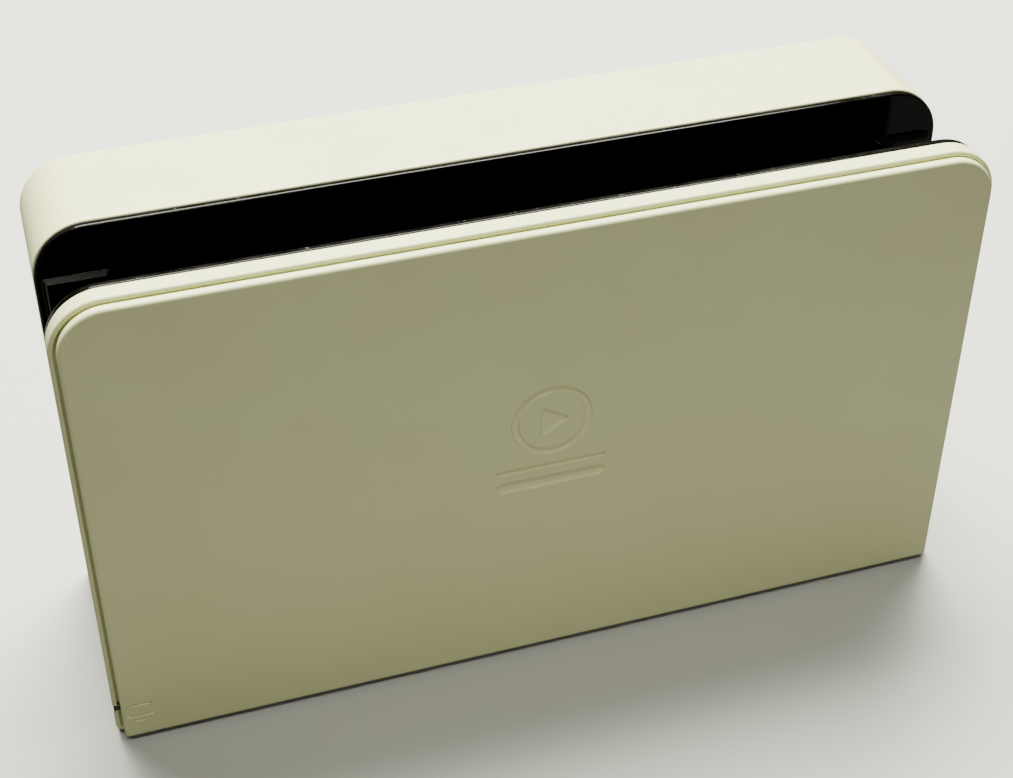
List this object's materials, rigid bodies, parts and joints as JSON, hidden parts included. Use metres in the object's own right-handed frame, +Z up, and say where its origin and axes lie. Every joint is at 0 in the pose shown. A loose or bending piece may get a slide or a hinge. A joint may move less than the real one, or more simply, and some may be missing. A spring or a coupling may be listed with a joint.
{
  "type": "handheld console dock",
  "caption": "Upright docking station for a handheld games console: thin front panel, open glossy slot with a rocking plug, thick rear casing with side sockets and a lift-off rear cover.",
  "frame": {"origin": "middle of the box's underside, on the surface that the rubber feet stand on", "axes": "+X along the dock to the right as seen from the front, +Y from the front panel to the rear cover, +Z up"},
  "size_m": [0.176, 0.0508, 0.103],
  "materials": {
    "white_shell": "satin, fine moulded texture",
    "black_liner": "high gloss with soft wear from sliding",
    "dark_moulding": "satin",
    "foot_rubber": "matt",
    "smoked_lens": "polished, smoked",
    "circuit_board": "satin solder mask",
    "flex_film": "polyimide film",
    "thermal_gel": "matt",
    "tinned_steel": "bright tin plate",
    "bracket_steel": "rolled",
    "screw_steel": "black zinc"
  },
  "bodies": {
    "casing": {"base_cover": "white_shell", "base_screw_1": "screw_steel", "base_screw_2": "screw_steel", "base_screw_3": "screw_steel", "base_screw_4": "screw_steel", "bracket_screw_1": "screw_steel", "bracket_screw_2": "screw_steel", "foot_front_left": "foot_rubber", "foot_front_right": "foot_rubber", "foot_rear_left": "foot_rubber", "foot_rear_right": "foot_rubber", "front_plate": "white_shell", "front_shell": "white_shell", "lamp_board": "circuit_board", "lamp_light_pipe": "smoked_lens", "lamp_ribbon_cable": "flex_film", "main_board": "circuit_board", "main_board_screw_1": "screw_steel", "main_board_screw_2": "screw_steel", "main_board_screw_3": "screw_steel", "main_board_screw_4": "screw_steel", "network_socket": "tinned_steel", "plug_bracket": "bracket_steel", "plug_pivot_pin": "bracket_steel", "plug_ribbon_cable": "flex_film", "plug_spring_front": "bracket_steel", "plug_spring_rear": "bracket_steel", "power_socket": "tinned_steel", "rear_screw_1": "screw_steel", "rear_screw_2": "screw_steel", "rear_screw_3": "screw_steel", "rear_screw_4": "screw_steel", "rear_shell": "white_shell", "shield_can": "tinned_steel", "shield_plate": "tinned_steel", "slot_liner": "black_liner", "thermal_pad": "thermal_gel", "usb_board": "circuit_board", "usb_board_screw_1": "screw_steel", "usb_board_screw_2": "screw_steel", "usb_ribbon_cable": "flex_film", "usb_socket_lower": "tinned_steel", "usb_socket_upper": "tinned_steel", "video_socket": "tinned_steel"},
    "rear_cover": {"back_cover": "white_shell"},
    "plug_rocker": {"plug_carriage": "dark_moulding", "docking_plug": "tinned_steel"}
  },
  "joints": [
    {"name": "rear_cover_lift_off", "type": "slide", "parent": "casing", "child": "rear_cover", "axis": [0, 1, 0], "range_m": [0, 0.06]},
    {"name": "docking_plug_rock", "type": "hinge", "parent": "casing", "child": "plug_rocker", "pos_m": [0, -0.00905, 0.0088], "axis": [1, 0, 0], "range_deg": [-5, 5], "stiffness_Nm_per_rad": 0.08, "deforming": ["plug_spring_front", "plug_spring_rear"]}
  ]
}
